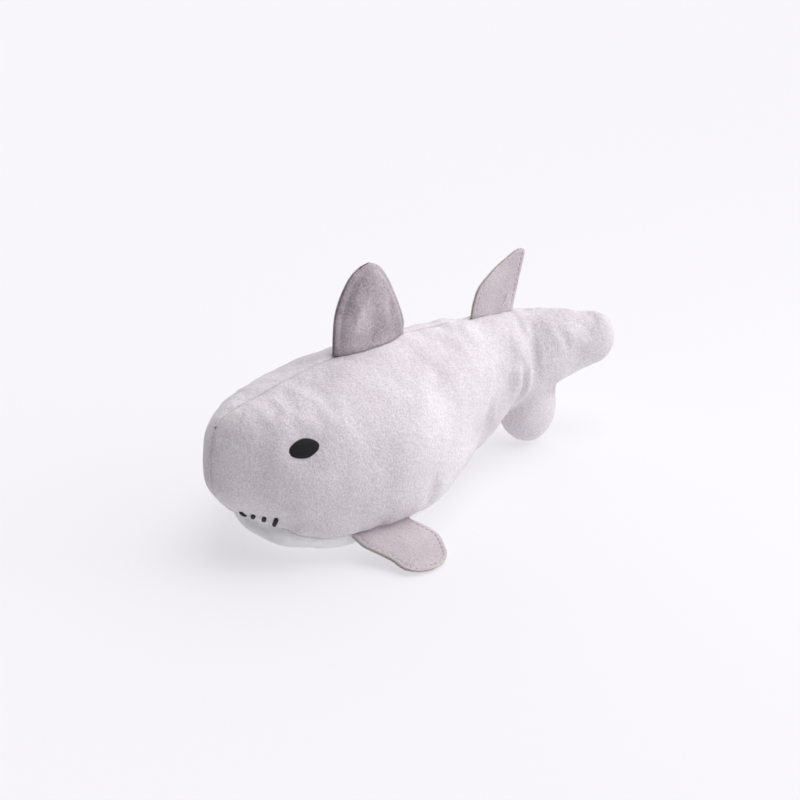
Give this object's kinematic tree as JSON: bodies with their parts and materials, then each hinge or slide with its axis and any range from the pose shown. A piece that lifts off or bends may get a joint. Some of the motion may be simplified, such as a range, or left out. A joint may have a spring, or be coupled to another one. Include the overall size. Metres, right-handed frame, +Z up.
{
  "type": "plush shark",
  "caption": "Small stuffed plush shark lying on its flattened white belly, with a curved two-lobed tail, soft dorsal and pectoral fins and embroidered eyes and mouth stitches.",
  "frame": {"origin": "middle of the bottom of the bounding box, on the surface that the belly rests on", "axes": "+X towards the nose, +Y towards the shark's left, +Z up"},
  "size_m": [0.2282, 0.1308, 0.1109],
  "materials": {
    "grey_plush": "short-pile plush, pale warm grey, soft matt nap",
    "white_plush": "short-pile plush, white, soft matt nap",
    "fin_cloth": "short-pile plush, mid grey, cut edges showing the pale ground cloth",
    "black_thread": "black embroidery thread in satin stitch, slight sheen",
    "fibre_filling": "loose white polyester fibre"
  },
  "bodies": {
    "root": {"left_side_panel": "grey_plush", "right_side_panel": "grey_plush", "belly_panel": "white_plush", "body_stuffing": "fibre_filling", "left_eye": "black_thread", "right_eye": "black_thread", "left_mouth_stitch_1": "black_thread", "left_mouth_stitch_2": "black_thread", "left_mouth_stitch_3": "black_thread", "left_mouth_stitch_4": "black_thread", "right_mouth_stitch_1": "black_thread", "right_mouth_stitch_2": "black_thread", "right_mouth_stitch_3": "black_thread", "right_mouth_stitch_4": "black_thread"},
    "tail": {"left_tail_panel": "grey_plush", "right_tail_panel": "grey_plush", "tail_stuffing": "fibre_filling"},
    "front_dorsal_fin": {"front_dorsal_fin_left_face": "fin_cloth", "front_dorsal_fin_right_face": "fin_cloth", "front_dorsal_fin_filling": "fibre_filling"},
    "rear_dorsal_fin": {"rear_dorsal_fin_left_layer": "fin_cloth", "rear_dorsal_fin_right_layer": "fin_cloth"},
    "left_pectoral_fin": {"left_pectoral_fin_upper_layer": "fin_cloth", "left_pectoral_fin_lower_layer": "fin_cloth"},
    "right_pectoral_fin": {"right_pectoral_fin_upper_layer": "fin_cloth", "right_pectoral_fin_lower_layer": "fin_cloth"}
  },
  "joints": [
    {"name": "tail_sway", "type": "hinge", "parent": "root", "child": "tail", "pos_m": [-0.05, 0, 0], "axis": [-0.2425, 0, 0.9701], "range_deg": [-30, 45], "stiffness_Nm_per_rad": 0.05},
    {"name": "front_dorsal_fold", "type": "hinge", "parent": "root", "child": "front_dorsal_fin", "pos_m": [0.026, 0, 0.0761], "axis": [1, 0, 0.0069], "range_deg": [-45, 45], "stiffness_Nm_per_rad": 0.02},
    {"name": "rear_dorsal_fold", "type": "hinge", "parent": "root", "child": "rear_dorsal_fin", "pos_m": [-0.052, 0, 0.0685], "axis": [0.9915, 0, 0.1303], "range_deg": [-60, 60], "stiffness_Nm_per_rad": 0.01},
    {"name": "left_pectoral_flap", "type": "hinge", "parent": "root", "child": "left_pectoral_fin", "pos_m": [0.05338, 0.03683, 0.01005], "axis": [0.994, -0.1057, 0.0277], "range_deg": [-15, 50], "stiffness_Nm_per_rad": 0.01},
    {"name": "right_pectoral_flap", "type": "hinge", "parent": "root", "child": "right_pectoral_fin", "pos_m": [0.05338, -0.03683, 0.01005], "axis": [-0.994, -0.1057, -0.0277], "range_deg": [-15, 50], "stiffness_Nm_per_rad": 0.01}
  ]
}
